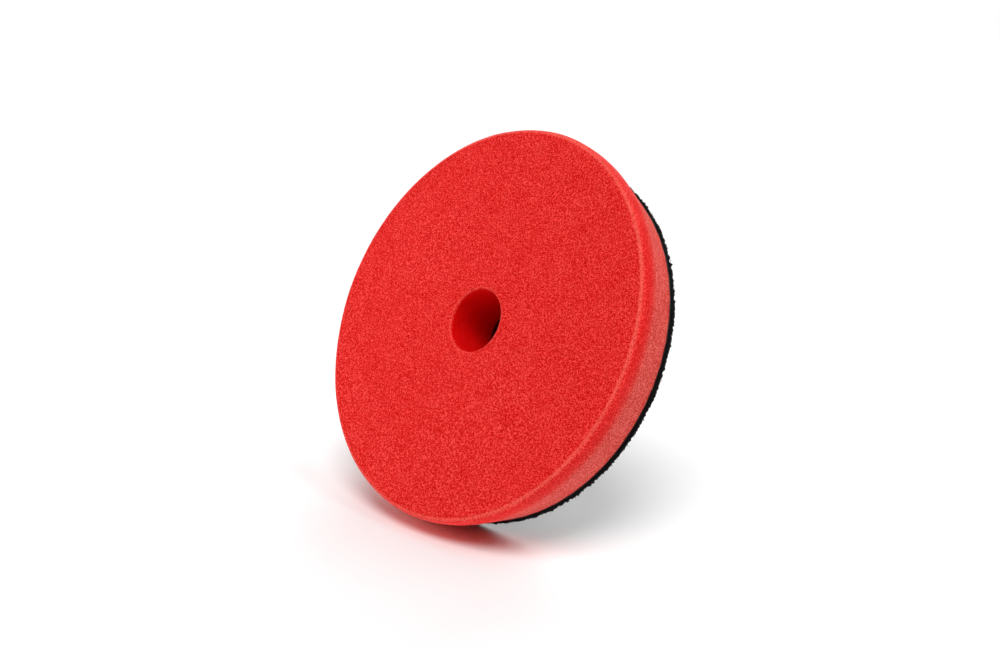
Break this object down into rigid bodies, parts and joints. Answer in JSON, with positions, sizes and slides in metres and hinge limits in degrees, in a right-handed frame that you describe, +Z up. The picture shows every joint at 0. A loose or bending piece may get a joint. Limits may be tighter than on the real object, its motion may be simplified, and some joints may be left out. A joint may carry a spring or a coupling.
{
  "type": "polishing pad",
  "caption": "Round foam polishing pad with a flat working face, tapered wall, centre hole and a full loop backing that grips the hook plate of a dual action machine.",
  "frame": {"origin": "on the pad's axis, in the plane of the loop face that meets the machine's hook plate", "axes": "+Y along the pad's axis, out of the loop face towards the machine; the working face looks towards -Y; +Z up"},
  "size_m": [0.15, 0.026, 0.15],
  "materials": {
    "foam": "open-cell polyurethane foam, fine pores, matt",
    "film": "thin melted bonding film, satin",
    "ground_cloth": "warp-knitted nylon ground, matt black",
    "loop_yarn": "raised nylon loops, black with a slight sheen"
  },
  "bodies": {
    "root": {"foam_disc": "foam", "bond_film": "film", "loop_ground": "ground_cloth", "loop_pile": "loop_yarn"}
  },
  "joints": []
}
